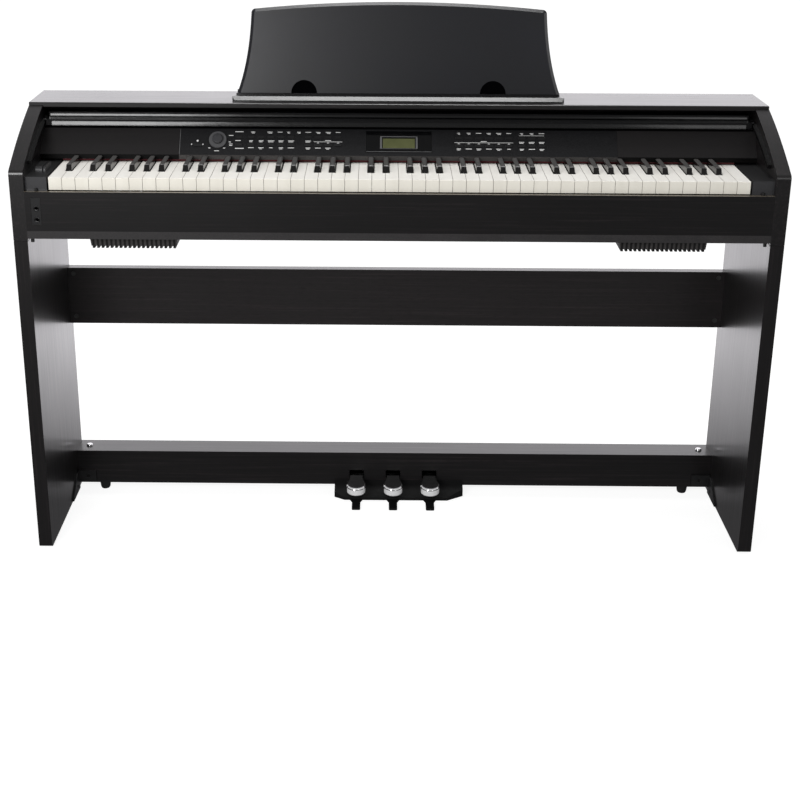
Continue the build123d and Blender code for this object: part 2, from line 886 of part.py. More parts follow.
panel_board = panel_box(
    0,
    panel_board_middle,
    2 * panel_board_half,
    panel_board_height,
    -board_depth - board_thickness,
    -board_depth,
)
post_radius = 2.5
post_v = panel_board_middle - panel_board_height / 2 + 2 * post_radius
post_outer_x = panel_board_half - 2 * post_radius
post_inner_x = window_width / 2 + 20.0
for x in (-post_outer_x, -post_inner_x, post_inner_x, post_outer_x):
    panel_board += panel_disc(x, post_v, post_radius, -board_depth, -panel_sheet)
panel_board += panel_box(display_x, frame_middle - 2.7, 40.0, 10.0, -board_depth, -module_depth)
panel_board += panel_disc(knob_x, knob_v, 9.0, -board_depth, -board_depth + 2.2)
save("panel_circuit_board", panel_board)

main_board_half = 190.0
main_board_width = 42.0
main_board_inset = 4.0
main_board_lift = 8.0
main_board_edge = 5.0
chip_size = 34.0
chip_depth = 22.0
chip_positions = [-120.0, -40.0, 60.0]
main_board_y1 = back_board_y - main_board_inset
main_board_y0 = main_board_y1 - main_board_width
main_board_z = keybed_top + main_board_lift
main_board_middle = (main_board_y0 + main_board_y1) / 2 + 1.0
main_board = block(
    -main_board_half,
    main_board_half,
    main_board_y0,
    main_board_y1,
    main_board_z,
    main_board_z + board_thickness,
)
for x in (-main_board_half + 2 * main_board_edge, main_board_half - 2 * main_board_edge):
    for y in (main_board_y0 + main_board_edge, main_board_y1 - main_board_edge):
        main_board += rod_z(3.0, x, y, keybed_top, main_board_z)
for x in chip_positions:
    main_board += block(
        x,
        x + chip_size,
        main_board_middle - chip_depth / 2,
        main_board_middle + chip_depth / 2,
        main_board_z + board_thickness / 2,
        main_board_z + 5.0,
    )
save("main_circuit_board", main_board)


# Downward speakers and the ribbed grilles under the keybed
speaker_face = make_face(
    Polyline(
        (0, 12.0),
        (12.0, 12.0),
        (36.0, 0),
        (speaker_flange_radius, 0),
        (speaker_flange_radius, 3.0),
        (38.0, 4.0),
        (24.0, 26.0),
        (24.0, 40.0),
        (0, 40.0),
        close=True,
    )
)
speaker = revolve(Plane.XZ * speaker_face, axis=Axis.Z)
speaker = Pos(speaker_x, speaker_y, keybed_top) * speaker
save("speakers", both_sides(speaker))

grille_y0 = speaker_y - grille_depth / 2
grille_y1 = speaker_y + grille_depth / 2
grille_x0 = speaker_x - grille_width / 2
grille_x1 = grille_x0 + grille_width
grille_plate = 3.0
grille_open_radius = speaker_radius - 8.0
rib_top = keybed_bottom - grille_plate
wall_foot = keybed_bottom - grille_drop + rib_stand
rib_pitch = (grille_width - 2 * grille_taper) / grille_ribs
rib_width = 4.2


def grille_level(inset, z):
    outline = [
        (grille_x0 + inset, grille_y0 + inset),
        (grille_x1 - inset, grille_y0 + inset),
        (grille_x1 - inset, grille_y1 - inset),
        (grille_x0 + inset, grille_y1 - inset),
    ]
    return Plane.XY.offset(z) * make_face(Polyline(*outline, close=True))


grille = loft([grille_level(0, keybed_bottom), grille_level(grille_taper, wall_foot)], ruled=True)
grille -= loft(
    [grille_level(grille_wall, rib_top), grille_level(grille_taper + grille_wall, wall_foot - 1)], ruled=True
)
grille -= rod_z(grille_open_radius, speaker_x, speaker_y, rib_top - 1, keybed_bottom + 1)
rib_y0 = grille_y0 + grille_taper
rib_y1 = grille_y1 - grille_taper
for rib in range(grille_ribs):
    rib_x = grille_x0 + grille_taper + (rib + 0.5) * rib_pitch
    grille += block(
        rib_x - rib_width / 2, rib_x + rib_width / 2, rib_y0, rib_y1, keybed_bottom - grille_drop, rib_top
    )
save("speaker_grilles", both_sides(grille))


# Sliding key cover. The rear leaf turns on a shaft that runs in level guides;
# the front leaf slides out from under it along curved guides.
def bead(half_length, y, z0, height, lean, bulge):
    middle = (y - lean / 2 - bulge, z0 + height / 2)
    section = [
        Line((y + 1.0, z0), (y - lean, z0)),
        ThreePointArc((y - lean, z0), middle, (y, z0 + height)),
        Line((y, z0 + height), (y + 1.0, z0 + height)),
        Line((y + 1.0, z0 + height), (y + 1.0, z0)),
    ]
    return extrude(Plane.YZ.offset(-half_length) * make_face(section), amount=2 * half_length)


cover_shaft = rod_x(cover_pin_radius, -cover_half - 7.0, cover_half + 7.0, cover_pin_y, cover_pin_z)
save("cover_shaft", cover_shaft)

rear_leaf = block(
    -cover_half,
    cover_half,
    rear_cover_front_y,
    cover_pin_y - 4.5,
    cover_pin_z - cover_sheet / 2,
    cover_pin_z + cover_sheet / 2,
)
rear_lip = block(
    -cover_half,
    cover_half,
    rear_cover_front_y,
    rear_cover_front_y + 5.0,
    cover_pin_z - 3.0,
    cover_pin_z + 4.5,
)
rear_bead = bead(
    cover_half - rear_bead_inset,
    rear_cover_front_y,
    cover_pin_z - 2.4,
    rear_bead_height,
    rear_bead_lean,
    rear_bead_bulge,
)
rear_leaf += rear_lip + rear_bead
sleeve_outer_x = cover_half - sleeve_inset
for x in (-sleeve_outer_x, -sleeve_inner_x, sleeve_inner_x, sleeve_outer_x):
    sleeve_x0 = x - sleeve_length / 2
    sleeve_x1 = x + sleeve_length / 2
    sleeve = rod_x(cover_sleeve_radius, sleeve_x0, sleeve_x1, cover_pin_y, cover_pin_z)
    bridge = block(
        sleeve_x0,
        sleeve_x1,
        cover_pin_y - 5.5,
        cover_pin_y,
        cover_pin_z - cover_sheet / 2,
        cover_pin_z + cover_sheet / 2,
    )
    rear_leaf += sleeve + bridge
    rear_leaf -= rod_x(
        cover_pin_radius + running_gap, sleeve_x0 - 5.0, sleeve_x1 + 5.0, cover_pin_y, cover_pin_z
    )
save("cover_rear_leaf", rear_leaf)

front_leaf_z = cover_pin_z - cover_step
front_leaf_back_y = front_cover_front_y + front_cover_length
front_leaf = block(
    -cover_half,
    cover_half,
    front_cover_front_y,
    front_leaf_back_y,
    front_leaf_z - cover_sheet / 2,
    front_leaf_z + cover_sheet / 2,
)
front_lip = block(
    -cover_half,
    cover_half,
    front_cover_front_y,
    front_cover_front_y + 3.0,
    front_leaf_z - front_lip_drop,
    front_leaf_z + cover_sheet / 2,
)
front_bead = bead(
    cover_half - front_bead_inset,
    front_cover_front_y,
    front_leaf_z - front_lip_drop,
    front_bead_height,
    front_bead_lean,
    front_bead_bulge,
)
front_leaf += front_lip + front_bead
guide_pin_y = front_cover_front_y + 9.0
for side in (-1, 1):
    pin_from = min(side * (cover_half - 4.0), side * (cover_half + 6.0))
    pin_to = max(side * (cover_half - 4.0), side * (cover_half + 6.0))
    front_leaf += rod_x(guide_pin_radius, pin_from, pin_to, guide_pin_y, front_leaf_z)
save("cover_front_leaf", front_leaf)


def guide_pin_at(share):
    tilt = radians(cover_tilt * share)
    reach = cover_pin_y - guide_pin_y + front_cover_travel * share
    y = cover_pin_y - cover_travel * share - reach * cos(tilt) + cover_step * sin(tilt)
    z = cover_pin_z - reach * sin(tilt) - cover_step * cos(tilt)
    return (y, z)


guide_share = 0.78
guide_steps = 12
guide_drop = guide_pin_radius + 0.5
guide_path = [guide_pin_at(guide_share * step / guide_steps) for step in range(guide_steps + 1)]
guide_top = [(y, z - guide_drop) for y, z in guide_path]
guide_low = [(y, z - guide_drop - guide_height) for y, z in reversed(guide_path)]
guide_start = [(guide_path[0][0] + 40.0, guide_path[0][1] - guide_drop)]
guide_start_low = [(guide_start[0][0], guide_start[0][1] - guide_height)]
front_guide = prism_x(guide_start + guide_top + guide_low + guide_start_low, inner_x - guide_width, inner_x)
shaft_guide_top = cover_pin_z - cover_pin_radius - 0.4
shaft_guide = block(
    inner_x - guide_width,
    inner_x,
    rear_cover_front_y,
    back_board_y,
    shaft_guide_top - guide_height,
    shaft_guide_top,
)
cover_guide = front_guide + shaft_guide
save("cover_guides", both_sides(cover_guide))


# Music rest: a leaning panel with a bowed top, standing in a tray on the top board
def rest_outline():
    half = rest_bottom_half
    top_half = rest_top_half
    shoulder = rest_rise - rest_crown
    return [
        Line((-half, 0), (half, 0)),
        Spline(
            (half, 0),
            (half - 16.0, shoulder - 101.0),
            (top_half + 3.5, shoulder - 47.0),
            (top_half, shoulder),
        ),
        ThreePointArc((top_half, shoulder), (0, rest_rise), (-top_half, shoulder)),
        Spline(
            (-top_half, shoulder),
            (-top_half - 3.5, shoulder - 47.0),
            (16.0 - half, shoulder - 101.0),
            (-half, 0),
        ),
    ]


rest_plane = Plane(
    origin=(rest_x, rest_foot_y, rest_foot_z),
    x_dir=(1, 0, 0),
    z_dir=(0, -cos(radians(rest_lean)), sin(radians(rest_lean))),
)
rest = extrude(rest_plane * make_face(rest_outline()), amount=-rest_thickness)
corner_edges = rest.edges().filter_by(GeomType.LINE).sort_by(Axis.Z)[-2:]
rest = fillet(corner_edges, rest_corner_radius)
rest_face = rest.faces().sort_by(lambda f: (f.center() - rest_plane.origin).dot(rest_plane.z_dir))[-1]
rest = chamfer(rest_face.edges().sort_by(Axis.Z)[1:], rest_bevel)
for side in (-1, 1):
    recess = rest_plane * Pos(side * rest_recess_x, 0, 0) * Cylinder(
        rest_recess_radius, 2 * rest_recess_depth
    )
    rest -= recess
save("music_rest", rest)

tray_plan = [
    (-tray_half + 4.0, tray_back_y),
    (-tray_half, tray_front_y + 8.0),
    (-tray_half + 5.0, tray_front_y),
    (tray_half - 5.0, tray_front_y),
    (tray_half, tray_front_y + 8.0),
    (tray_half - 4.0, tray_back_y),
]
tray = prism_z(tray_plan, overall_height, overall_height + tray_thickness)
rib_thickness = 3.5
rib_gap = 1.5
front_rib_y = rest_foot_y - rib_gap
front_rib = block(
    -tray_half, tray_half, front_rib_y - rib_thickness, front_rib_y, overall_height, overall_height + 5.0
)
rear_rib_y = rest_foot_y + rest_thickness + 2.0
rear_rib = block(
    -tray_half, tray_half, rear_rib_y, rear_rib_y + rib_thickness, overall_height, overall_height + 9.0
)
lip_foot_z = overall_height + tray_thickness
lip_top_z = lip_foot_z + tray_lip_rise
lip_back_y = tray_front_y + tray_lip_depth
tray_lip = prism_x(
    [
        (tray_front_y, lip_foot_z - 1),
        (tray_front_y, lip_foot_z),
        (lip_back_y, lip_top_z),
        (lip_back_y + 1.5, lip_top_z - 0.5),
        (lip_back_y + 2.5, lip_foot_z - 1),
    ],
    -tray_half,
    tray_half,
)
tray += (front_rib + rear_rib + tray_lip) & prism_z(tray_plan, overall_height, overall_height + 9.0)
save("music_rest_tray", tray)


# Stand hardware: brackets at the foot of each leg and under the keybed, knob bolts, caps
bracket_sheet = 3.0
bracket_foot = 4.0
bracket_top = 44.0
bracket_reach = 63.5
bracket_hole_radius = 4.0
foot_bracket = prism_x(
    [
        (rail_front_y, bracket_foot),
        (rail_front_y - bracket_reach, bracket_foot),
        (rail_front_y - bracket_reach, bracket_foot + 6.0),
        (rail_front_y - 14.0, bracket_top),
        (rail_front_y, bracket_top),
    ],
    inner_x - bracket_sheet,
    inner_x,
)
foot_bracket -= rod_x(
    bracket_hole_radius, inner_x - 10.0, inner_x + 10.0, rail_front_y - 21.5, bracket_foot + 13.0
)
foot_bracket += block(
    inner_x - 38.0, inner_x, rail_front_y - bracket_sheet, rail_front_y, rail_bottom + 4.0, bracket_top
)
foot_bracket -= rod_y(3.5, inner_x - 22.0, rail_front_y - 10.0, rail_front_y + 10.0, bracket_top - 11.0)
top_bracket_inset = 14.5
top_bracket_length = 105.0
top_bracket_y1 = back_y - top_bracket_inset
top_bracket_y0 = top_bracket_y1 - top_bracket_length
top_bracket_height = 47.0
top_bracket_width = 34.0
top_bracket = block(
    inner_x - bracket_sheet,
    inner_x,
    top_bracket_y0,
    top_bracket_y1,
    keybed_bottom - top_bracket_height,
    keybed_bottom,
)
top_bracket += block(
    inner_x - top_bracket_width,
    inner_x,
    top_bracket_y0,
    top_bracket_y1,
    keybed_bottom - bracket_sheet,
    keybed_bottom,
)
save("stand_brackets", both_sides(foot_bracket) + both_sides(top_bracket))

bolt_radius = 9.0
bolt_height = 12.0
bolt_inset = 20.0
knob_bolts = []
for y in (top_bracket_y0 + 20.0, top_bracket_y1 - 20.0):
    bolt_top = keybed_bottom - bracket_sheet
    knob_bolts += both_sides(rod_z(bolt_radius, inner_x - bolt_inset, y, bolt_top - bolt_height, bolt_top))
front_bolt = rod_z(3.2, inner_x - 6.0, front_y + 12.0, keybed_bottom - 9.0, keybed_bottom)
knob_bolts += both_sides(front_bolt)
save("stand_bolts", knob_bolts)

cap_radius = 6.5
cap_height = 4.0
cap_inset = 22.5
screw_cap_radius = 4.5
screw_cap_inset = 12.0
screw_cap_height = 1.5
cap_bolts = []
dome = rod_z(cap_radius, inner_x - cap_inset, pedal_pivot_y, rail_top, rail_top + cap_height)
dome = fillet(dome.edges().group_by(Axis.Z)[-1], 3.0)
cap_bolts += both_sides(dome)
for z in (modesty_bottom + 15.0, modesty_top - screw_cap_inset):
    cap = rod_y(
        screw_cap_radius, inner_x - screw_cap_inset, modesty_front_y - screw_cap_height, modesty_front_y, z
    )
    cap_bolts += both_sides(cap)
save("cap_bolts", cap_bolts)
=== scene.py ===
import math

import bmesh
import bpy
from mathutils import Matrix, Vector


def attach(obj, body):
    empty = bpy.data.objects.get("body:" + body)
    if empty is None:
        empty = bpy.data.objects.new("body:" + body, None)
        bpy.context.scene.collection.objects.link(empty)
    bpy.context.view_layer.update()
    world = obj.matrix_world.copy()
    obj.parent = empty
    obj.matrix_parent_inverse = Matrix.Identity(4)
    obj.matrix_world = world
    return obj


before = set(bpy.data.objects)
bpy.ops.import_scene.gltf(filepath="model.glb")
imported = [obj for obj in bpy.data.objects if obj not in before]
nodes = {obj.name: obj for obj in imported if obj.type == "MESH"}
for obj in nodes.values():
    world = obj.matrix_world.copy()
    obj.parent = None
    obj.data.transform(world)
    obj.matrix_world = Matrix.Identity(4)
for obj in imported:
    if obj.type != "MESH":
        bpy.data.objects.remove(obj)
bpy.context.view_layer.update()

scene = bpy.context.scene

# The control panel's plane, in metres: its foot, its lean, and the directions up it and out of it
panel_foot_y = -0.015
panel_foot_z = 0.738
panel_foot = Vector((0.0, panel_foot_y, panel_foot_z))
panel_lean = math.radians(37.0)
panel_up = Vector((0.0, math.sin(panel_lean), math.cos(panel_lean)))
panel_out = Vector((0.0, -math.cos(panel_lean), math.sin(panel_lean)))

# Noise values between which a texture changes from its first tone to its second
fine_span = (0.35, 0.68)
broad_span = (0.3, 0.7)
gloss_span = (0.35, 0.65)
worn_span = (0.35, 0.7)

# Depth of moulded grain and radius of softened edges, in metres
grain_depth = 0.0003
soft_edge = 0.0006


def add_node(tree, kind, inputs=None, **settings):
    node = tree.nodes.new(kind)
    for key, value in settings.items():
        setattr(node, key, value)
    for key, value in (inputs or {}).items():
        if isinstance(value, bpy.types.NodeSocket):
            tree.links.new(value, node.inputs[key])
        else:
            node.inputs[key].default_value = value
    return node


def stretch(along, lengthwise, across):
    # Texture scale for marks drawn out along one axis
    return tuple(lengthwise if axis == along else across for axis in "xyz")


# Materials: one principled shader each, with short helpers to wire its nodes
class Paint:
    def __init__(self, name, **constants):
        self.material = bpy.data.materials.new(name)
        self.material.use_nodes = True
        self.tree = self.material.node_tree
        self.shader = self.tree.nodes["Principled BSDF"]
        for key, value in constants.items():
            self.shader.inputs[key.replace("_", " ")].default_value = value

    def add(self, kind, inputs=None, **settings):
        return add_node(self.tree, kind, inputs, **settings)

    def plug(self, output, name):
        self.tree.links.new(output, self.shader.inputs[name])

    def place(self, scale=(1, 1, 1)):
        coordinates = self.add("ShaderNodeTexCoord").outputs["Object"]
        return self.add("ShaderNodeMapping", {"Vector": coordinates, "Scale": scale}).outputs["Vector"]

    def axes(self):
        return self.add("ShaderNodeSeparateXYZ", {"Vector": self.place()}).outputs

    def facing(self):
        normal = self.add("ShaderNodeNewGeometry").outputs["Normal"]
        return self.add("ShaderNodeSeparateXYZ", {"Vector": normal}).outputs

    def noise(self, vector, scale, detail=3.0, rough=0.55):
        texture = self.add(
            "ShaderNodeTexNoise", {"Vector": vector, "Scale": scale, "Detail": detail, "Roughness": rough}
        )
        return texture.outputs["Fac"]

    def spread(self, value, low, high, to_low=0.0, to_high=1.0):
        ranged = self.add(
            "ShaderNodeMapRange",
            {"Value": value, "From Min": low, "From Max": high, "To Min": to_low, "To Max": to_high},
        )
        return ranged.outputs["Result"]

    def calc(self, operation, first, second=0.0):
        return self.add("ShaderNodeMath", {0: first, 1: second}, operation=operation).outputs["Value"]

    def weigh(self, first, share, second, other_share):
        weighed = self.calc("MULTIPLY", first, share)
        return self.calc("ADD", weighed, self.calc("MULTIPLY", second, other_share))

    def ramp(self, value, stops):
        node = self.add("ShaderNodeValToRGB", {"Fac": value})
        band = node.color_ramp
        while len(band.elements) < len(stops):
            band.elements.new(0.5)
        for element, (position, colour) in zip(band.elements, stops):
            element.position = position
            element.color = (*colour, 1.0)
        return node.outputs["Color"]

    def mottle(self, value, span, dark, pale):
        return self.ramp(value, list(zip(span, (dark, pale))))

    def blend(self, share, first, second):
        node = self.add("ShaderNodeMix", data_type="RGBA")
        share_input = node.inputs[0]
        first_colour = node.inputs[6]
        second_colour = node.inputs[7]
        for socket, value in ((share_input, share), (first_colour, first), (second_colour, second)):
            if isinstance(value, bpy.types.NodeSocket):
                self.tree.links.new(value, socket)
            else:
                socket.default_value = (*value, 1.0)
        return node.outputs[2]

    def bump(self, height, strength, distance, edge=0.0):
        inputs = {"Height": height, "Strength": strength, "Distance": distance}
        if edge:
            inputs["Normal"] = self.add("ShaderNodeBevel", {"Radius": edge}, samples=4).outputs["Normal"]
        self.plug(self.add("ShaderNodeBump", inputs).outputs["Normal"], "Normal")


def laminate(name, along, tone=1.0, grain=1.0, coat_rough=0.22, top_painted_reflection=None):
    # Black wood-grain foil: long fibres, short pores, a little brown in the streaks; upward faces painted in
    # a given colour as a painted reflection, if given
    paint = Paint(name, Specular_IOR_Level=0.3, Coat_Weight=1.0, Coat_Roughness=coat_rough, Coat_IOR=1.5)
    streaks = paint.noise(paint.place(stretch(along, 1.4, 100)), scale=3.0, detail=5.0, rough=0.62)
    pores = paint.noise(paint.place(stretch(along, 14, 260)), scale=4.0, detail=2.0, rough=0.5)
    clouds = paint.noise(paint.place(), scale=5.0, detail=2.0)
    mean = (0.0080, 0.0066, 0.0068)
    shades = [
        (0.3, (0.0016, 0.0014, 0.0015)),
        (0.56, (0.0062, 0.0050, 0.0053)),
        (0.74, (0.024, 0.0180, 0.0195)),
    ]
    stops = []
    for stop, shade in shades:
        colour = tuple(tone * (middle + grain * (part - middle)) for part, middle in zip(shade, mean))
        stops.append((stop, colour))
    pore_level = 0.0025
    pore = tuple(middle + grain * (pore_level - middle) for middle in mean)
    skin = paint.blend(paint.spread(pores, 0.56, 0.64, 0.0, 0.6), paint.ramp(streaks, stops), pore)
    # Upward faces take the given colour: a painted reflection
    if top_painted_reflection:
        skin = paint.blend(paint.spread(paint.facing()["Z"], 0.6, 0.8), skin, top_painted_reflection)
    paint.plug(skin, "Base Color")
    fibre_rough = paint.spread(streaks, *broad_span, 0.42, 0.32)
    paint.plug(paint.calc("ADD", fibre_rough, paint.spread(clouds, *broad_span, 0.0, 0.06)), "Roughness")
    height = paint.calc("SUBTRACT", streaks, paint.calc("MULTIPLY", pores, 0.5))
    paint.bump(height, strength=0.025, distance=0.0004)
    return paint.material


def moulding(name, dark, pale, rough, grain, depth, edge=soft_edge, **constants):
    # Moulded plastic with a fine sparkle grain
    paint = Paint(name, **constants)
    fine = paint.noise(paint.place(), grain, detail=2.0, rough=0.6)
    slow = paint.noise(paint.place(), scale=18.0)
    mixed = paint.weigh(fine, 0.7, slow, 0.3)
    paint.plug(paint.mottle(mixed, fine_span, dark, pale), "Base Color")
    paint.plug(paint.spread(mixed, *gloss_span, rough + 0.07, rough - 0.05), "Roughness")
    paint.bump(fine, depth, grain_depth, edge)
    return paint.material


def two_tone(paint, mask, plain, masked, rough, grain, depth):
    # Fine-grained plastic with one pair of shades, and another pair where the mask is 1
    fine = paint.noise(paint.place(), grain, detail=2.0, rough=0.6)
    plain_colour = paint.mottle(fine, fine_span, *plain)
    masked_colour = paint.mottle(fine, fine_span, *masked)
    paint.plug(paint.blend(mask, plain_colour, masked_colour), "Base Color")
    paint.plug(paint.spread(fine, *gloss_span, *rough), "Roughness")
    paint.bump(fine, depth, grain_depth)
    return paint.material


def white_key_paint():
    # White tops; fronts painted darker and warmer as painted shade; flanks painted tan as painted shade,
    # which darkens the gaps between the keys
    paint = Paint("key_white_satin", Specular_IOR_Level=0.3)
    facing = paint.facing()
    forward = paint.spread(facing["Y"], -0.8, -0.6, 1.0, 0.0)
    sideways = paint.spread(paint.calc("ABSOLUTE", facing["X"]), 0.6, 0.8)
    cast = paint.noise(paint.place((43, 4, 4)), scale=1.0, detail=1.0)
    smears = paint.noise(paint.place((20, 9, 9)), scale=6.0, rough=0.5)
    top = paint.mottle(cast, broad_span, (0.83, 0.805, 0.755), (0.87, 0.85, 0.805))
    # Fronts: a darker, warmer copy of the top colour, as painted shade
    front = paint.mottle(cast, broad_span, (0.775, 0.745, 0.665), (0.815, 0.785, 0.705))
    # Flanks: tan, as painted shade that darkens the gaps between the keys
    flank_painted_shade = (0.38, 0.34, 0.28)
    paint.plug(paint.blend(sideways, paint.blend(forward, top, front), flank_painted_shade), "Base Color")
    paint.plug(paint.spread(smears, *broad_span, 0.4, 0.5), "Roughness")
    paint.bump(smears, strength=0.003, distance=0.0002)
    return paint.material


def black_key_paint():
    # Grained, rougher tops painted lighter as painted light; polished dark fronts and sides that mirror the
    # white keys
    paint = Paint("key_black_texture", IOR=1.5)
    upward = paint.spread(paint.facing()["Z"], 0.5, 0.7)
    grain = paint.noise(paint.place((900, 260, 900)), scale=2.2, detail=2.0)
    slow = paint.noise(paint.place(), scale=60.0, detail=2.0)
    side = paint.mottle(grain, worn_span, (0.005, 0.0047, 0.0046), (0.014, 0.0132, 0.0128))
    # Upward faces take the lighter top colour: painted light on tops whose grain is real
    top = paint.mottle(grain, broad_span, (0.044, 0.042, 0.041), (0.086, 0.083, 0.081))
    paint.plug(paint.blend(upward, side, top), "Base Color")
    polish = paint.spread(slow, *broad_span, 0.07, 0.13)
    paint.plug(paint.calc("ADD", polish, paint.calc("MULTIPLY", upward, 0.3)), "Roughness")
    paint.bump(grain, strength=0.03, distance=grain_depth)
    return paint.material


def felt_paint():
    paint = Paint("felt_red_nap", Sheen_Weight=0.2, Sheen_Roughness=0.4)
    fibres = paint.noise(paint.place((700, 1500, 1500)), scale=1.5, detail=4.0, rough=0.7)
    tufts = paint.noise(paint.place(), scale=220.0)
    red = paint.mottle(fibres, broad_span, (0.022, 0.0006, 0.0015), (0.085, 0.0024, 0.006))
    paint.plug(red, "Base Color")
    paint.plug(paint.spread(tufts, *broad_span, 0.85, 1.0), "Roughness")
    paint.bump(fibres, strength=0.9, distance=0.0006)
    return paint.material


def metal(name, dark, pale, rough, along, depth):
    # Drawn metal with faint drawing lines and handling marks
    paint = Paint(name, Metallic=1.0)
    lines = paint.noise(paint.place(stretch(along, 8, 500)), scale=1.6)
    marks = paint.noise(paint.place(), scale=45.0, detail=4.0, rough=0.65)
    paint.plug(paint.mottle(marks, broad_span, dark, pale), "Base Color")
    handled = paint.spread(marks, *worn_span, rough * 0.7, rough * 1.5)
    paint.plug(paint.calc("ADD", handled, paint.spread(lines, *broad_span, 0.0, rough * 0.4)), "Roughness")
    paint.bump(lines, depth, 0.0002, soft_edge)
    return paint.material


def pedal_paint():
    # Chrome plate, with darker chrome on upward faces as a painted dark reflection; the front-facing nose is
    # painted pale and nearly non-metallic as a painted reflection, except one band of plain chrome across it
    paint = Paint("chrome_plate")
    lines = paint.noise(paint.place(stretch("y", 8, 500)), scale=1.6)
    marks = paint.noise(paint.place(), scale=45.0, detail=4.0, rough=0.65)
    facing = paint.facing()
    nose = paint.spread(facing["Y"], -0.4, -0.2, 1.0, 0.0)
    below_ridge = paint.spread(facing["Z"], 0.1, 0.2, 1.0, 0.0)
    above_ridge = paint.spread(facing["Z"], 0.5, 0.6)
    nose_painted_reflection_share = paint.calc("MULTIPLY", nose, paint.calc("MAXIMUM", below_ridge, above_ridge))
    bright = paint.mottle(marks, broad_span, (0.88, 0.88, 0.89), (0.96, 0.96, 0.97))
    top_painted_dark = paint.mottle(marks, broad_span, (0.36, 0.36, 0.365), (0.46, 0.46, 0.465))
    # Upward faces take the darker chrome: a painted dark reflection
    paint.plug(paint.blend(paint.spread(facing["Z"], 0.93, 0.98), bright, top_painted_dark), "Base Color")
    # The nose, outside the band of plain chrome, is pale and nearly non-metallic: a painted reflection
    paint.plug(paint.spread(nose_painted_reflection_share, 0.0, 1.0, 1.0, 0.15), "Metallic")
    handled = paint.spread(marks, *worn_span, 0.06, 0.13)
    paint.plug(paint.calc("ADD", handled, paint.spread(lines, *broad_span, 0.0, 0.04)), "Roughness")
    paint.bump(lines, strength=0.02, distance=0.0002)
    return paint.material


def powder_coat(name, dark, pale):
    paint = Paint(name)
    peel = paint.noise(paint.place(), scale=900.0, detail=2.0)
    slow = paint.noise(paint.place(), scale=30.0)
    paint.plug(paint.mottle(slow, broad_span, dark, pale), "Base Color")
    paint.plug(paint.spread(peel, *broad_span, 0.38, 0.52), "Roughness")
    paint.bump(peel, 0.25, grain_depth, soft_edge)
    return paint.material


def display_paint():
    # Unlit liquid crystal: olive ground with a fine grid of cells
    paint = Paint("display_cells", IOR=1.5, Coat_Weight=0.5, Coat_Roughness=0.2)
    axes = paint.axes()
    waves = []
    for axis, radians_per_metre in (("X", 5200.0), ("Z", 6500.0)):
        wave = paint.calc("SINE", paint.calc("MULTIPLY", axes[axis], radians_per_metre))
        waves.append(paint.calc("ABSOLUTE", wave))
    grid = paint.spread(paint.calc("MINIMUM", *waves), 0.0, 0.35)
    cloud = paint.noise(paint.place((30, 30, 30)), scale=2.0, detail=2.0)
    cells = paint.mottle(cloud, broad_span, (0.088, 0.098, 0.030), (0.115, 0.125, 0.042))
    lines = (0.07, 0.08, 0.028)
    paint.plug(paint.blend(grid, lines, cells), "Base Color")
    paint.plug(paint.spread(cloud, *broad_span, 0.3, 0.4), "Roughness")
    paint.bump(grid, strength=0.05, distance=0.0001)
    return paint.material


def knob_paint():
    # Grey spun skirt, darker cap: split by height above the panel
    paint = Paint("knob_two_tone", IOR=1.5)
    cap_level = 0.0028
    axes = paint.axes()
    from_foot_y = paint.calc("SUBTRACT", axes["Y"], panel_foot_y)
    from_foot_z = paint.calc("SUBTRACT", axes["Z"], panel_foot_z)
    above_panel = paint.weigh(from_foot_y, panel_out.y, from_foot_z, panel_out.z)
    cap = paint.calc("GREATER_THAN", above_panel, cap_level)
    grain = paint.noise(paint.place(), scale=1500.0, detail=2.0)
    skirt_colour = paint.mottle(grain, fine_span, (0.068, 0.068, 0.071), (0.105, 0.105, 0.110))
    cap_colour = paint.mottle(grain, fine_span, (0.026, 0.026, 0.029), (0.042, 0.042, 0.046))
    paint.plug(paint.blend(cap, skirt_colour, cap_colour), "Base Color")
    paint.plug(paint.spread(grain, *gloss_span, 0.42, 0.32), "Roughness")
    paint.bump(grain, 0.12, grain_depth, soft_edge)
    return paint.material


def rest_paint():
    # Charcoal moulding; the two half-round pockets at the foot are painted near-black and metallic inside as
    # painted shade, so they reflect almost nothing
    paint = Paint("rest_moulding", Specular_IOR_Level=0.4)
    rest_middle = 0.0012
    pocket_offset = 0.178
    pocket_foot = 0.8292
    pocket_radius = 0.0242
    fade = 0.0004
    axes = paint.axes()
    from_middle = paint.calc("ABSOLUTE", paint.calc("SUBTRACT", axes["X"], rest_middle))
    side = paint.calc("POWER", paint.calc("SUBTRACT", from_middle, pocket_offset), 2.0)
    rise = paint.calc("POWER", paint.calc("SUBTRACT", axes["Z"], pocket_foot), 2.0)
    reach = paint.calc("SQRT", paint.calc("ADD", side, rise))
    pocket = paint.spread(reach, pocket_radius, pocket_radius + fade, 1.0, 0.0)
    fine = paint.noise(paint.place(), scale=1100.0, detail=2.0, rough=0.6)
    slow = paint.noise(paint.place(), scale=9.0, detail=2.0)
    tone = paint.weigh(fine, 0.6, slow, 0.4)
    skin = paint.mottle(tone, (0.35, 0.66), (0.0080, 0.0082, 0.0106), (0.0146, 0.0149, 0.0190))
    # Inside the pockets: painted shade, near-black and metallic so it reflects almost nothing
    pocket_painted_shade = (0.004, 0.004, 0.005)
    paint.plug(paint.blend(pocket, skin, pocket_painted_shade), "Base Color")
    paint.plug(pocket, "Metallic")
    satin_rough = paint.spread(tone, *gloss_span, 0.4, 0.3)
    paint.plug(paint.calc("ADD", satin_rough, paint.calc("MULTIPLY", pocket, 0.5)), "Roughness")
    paint.bump(fine, strength=0.1, distance=grain_depth)
    return paint.material


